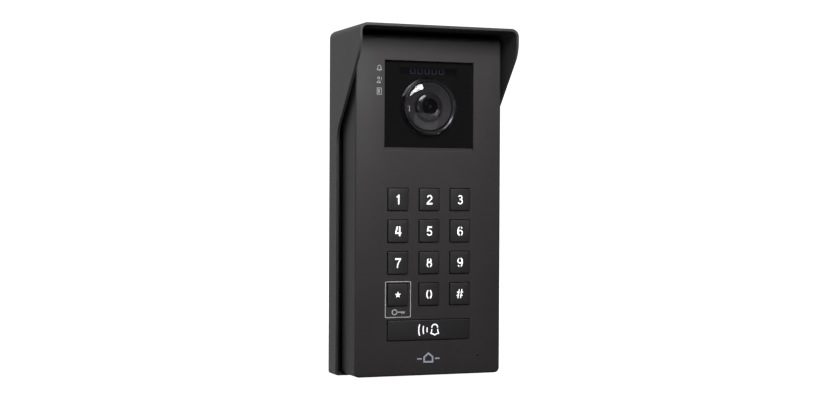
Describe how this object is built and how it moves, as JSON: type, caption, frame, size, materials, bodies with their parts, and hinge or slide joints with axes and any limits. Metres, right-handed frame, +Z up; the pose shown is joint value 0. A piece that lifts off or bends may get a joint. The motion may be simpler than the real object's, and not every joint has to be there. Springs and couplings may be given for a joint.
{
  "type": "door intercom panel",
  "caption": "Wall-mounted door intercom panel with a folded rain hood, domed camera window, square numeric keypad and wide call button.",
  "frame": {"origin": "centre of the hood's flat back, on the wall face, half way up and half way across", "axes": "+X to the right for a visitor facing the panel, +Y into the wall, +Z up; the keypad faces -Y"},
  "size_m": [0.0966, 0.0537, 0.2],
  "materials": {
    "coated_sheet": "fine-textured dark grey powder coat on folded sheet",
    "coated_metal": "fine-textured dark grey powder coat on a cast housing",
    "key_metal": "satin dark grey coat",
    "light_guide": "clear diffusing light guide, lit white from behind",
    "smoked_acrylic": "polished smoked black acrylic",
    "clear_dome": "clear polished dome",
    "lens_glass": "coated camera lens",
    "black_plastic": "moulded black plastic",
    "grey_plastic": "moulded dark grey plastic",
    "rubber": "black seal rubber",
    "silicone": "grey translucent silicone",
    "circuit_board": "green solder mask on glass-fibre board",
    "terminal_plastic": "green terminal housing",
    "steel": "bright zinc-plated steel"
  },
  "bodies": {
    "panel": {"rain_hood": "coated_sheet", "cable_grommet": "rubber", "front_housing": "coated_metal", "window_panel": "smoked_acrylic", "camera_dome": "clear_dome", "dome_seal": "rubber", "camera_bracket": "black_plastic", "illuminator_board": "circuit_board", "status_light_guide": "light_guide", "key_mat": "silicone", "keypad_board": "circuit_board", "keypad_screw_left": "steel", "keypad_screw_right": "steel", "speaker": "black_plastic", "speaker_gasket": "rubber", "microphone_boot": "rubber", "microphone": "steel", "main_board": "circuit_board", "board_link_header": "black_plastic", "terminal_block": "terminal_plastic", "tamper_switch": "black_plastic", "rear_cover": "black_plastic", "rear_seal": "rubber", "cover_screw_top_left": "steel", "cover_screw_bottom_left": "steel", "cover_screw_top_right": "steel", "cover_screw_bottom_right": "steel", "security_screw": "steel", "tamper_spring": "steel"},
    "camera_eye": {"camera_cradle": "grey_plastic", "lens_barrel": "black_plastic", "front_lens": "lens_glass", "camera_board": "circuit_board"},
    "call_button": {"call_button": "key_metal", "call_button_light_guide": "light_guide"},
    "tamper_plunger": {"tamper_plunger": "grey_plastic"},
    "key_1": {"key_1": "key_metal", "key_1_light_guide": "light_guide"},
    "key_2": {"key_2": "key_metal", "key_2_light_guide": "light_guide"},
    "key_3": {"key_3": "key_metal", "key_3_light_guide": "light_guide"},
    "key_4": {"key_4": "key_metal", "key_4_light_guide": "light_guide"},
    "key_5": {"key_5": "key_metal", "key_5_light_guide": "light_guide"},
    "key_6": {"key_6": "key_metal", "key_6_light_guide": "light_guide"},
    "key_7": {"key_7": "key_metal", "key_7_light_guide": "light_guide"},
    "key_8": {"key_8": "key_metal", "key_8_light_guide": "light_guide"},
    "key_9": {"key_9": "key_metal", "key_9_light_guide": "light_guide"},
    "key_star": {"key_star": "key_metal", "key_star_light_guide": "light_guide"},
    "key_0": {"key_0": "key_metal", "key_0_light_guide": "light_guide"},
    "key_hash": {"key_hash": "key_metal", "key_hash_light_guide": "light_guide"}
  },
  "joints": [
    {"name": "camera_tilt", "type": "hinge", "parent": "panel", "child": "camera_eye", "pos_m": [0, -0.034, 0.0552], "axis": [1, 0, 0], "range_deg": [-8, 8]},
    {"name": "call_button_press", "type": "slide", "parent": "panel", "child": "call_button", "axis": [0, 1, 0], "range_m": [0, 0.0009], "stiffness_N_per_m": 300},
    {"name": "key_1_press", "type": "slide", "parent": "panel", "child": "key_1", "axis": [0, 1, 0], "range_m": [0, 0.0009], "stiffness_N_per_m": 300},
    {"name": "key_2_press", "type": "slide", "parent": "panel", "child": "key_2", "axis": [0, 1, 0], "range_m": [0, 0.0009], "stiffness_N_per_m": 300},
    {"name": "key_3_press", "type": "slide", "parent": "panel", "child": "key_3", "axis": [0, 1, 0], "range_m": [0, 0.0009], "stiffness_N_per_m": 300},
    {"name": "key_4_press", "type": "slide", "parent": "panel", "child": "key_4", "axis": [0, 1, 0], "range_m": [0, 0.0009], "stiffness_N_per_m": 300},
    {"name": "key_5_press", "type": "slide", "parent": "panel", "child": "key_5", "axis": [0, 1, 0], "range_m": [0, 0.0009], "stiffness_N_per_m": 300},
    {"name": "key_6_press", "type": "slide", "parent": "panel", "child": "key_6", "axis": [0, 1, 0], "range_m": [0, 0.0009], "stiffness_N_per_m": 300},
    {"name": "key_7_press", "type": "slide", "parent": "panel", "child": "key_7", "axis": [0, 1, 0], "range_m": [0, 0.0009], "stiffness_N_per_m": 300},
    {"name": "key_8_press", "type": "slide", "parent": "panel", "child": "key_8", "axis": [0, 1, 0], "range_m": [0, 0.0009], "stiffness_N_per_m": 300},
    {"name": "key_9_press", "type": "slide", "parent": "panel", "child": "key_9", "axis": [0, 1, 0], "range_m": [0, 0.0009], "stiffness_N_per_m": 300},
    {"name": "key_star_press", "type": "slide", "parent": "panel", "child": "key_star", "axis": [0, 1, 0], "range_m": [0, 0.0009], "stiffness_N_per_m": 300},
    {"name": "key_0_press", "type": "slide", "parent": "panel", "child": "key_0", "axis": [0, 1, 0], "range_m": [0, 0.0009], "stiffness_N_per_m": 300},
    {"name": "key_hash_press", "type": "slide", "parent": "panel", "child": "key_hash", "axis": [0, 1, 0], "range_m": [0, 0.0009], "stiffness_N_per_m": 300},
    {"name": "tamper_release", "type": "slide", "parent": "panel", "child": "tamper_plunger", "axis": [0, 1, 0], "range_m": [0, 0.002], "deforming": ["tamper_spring"]}
  ]
}
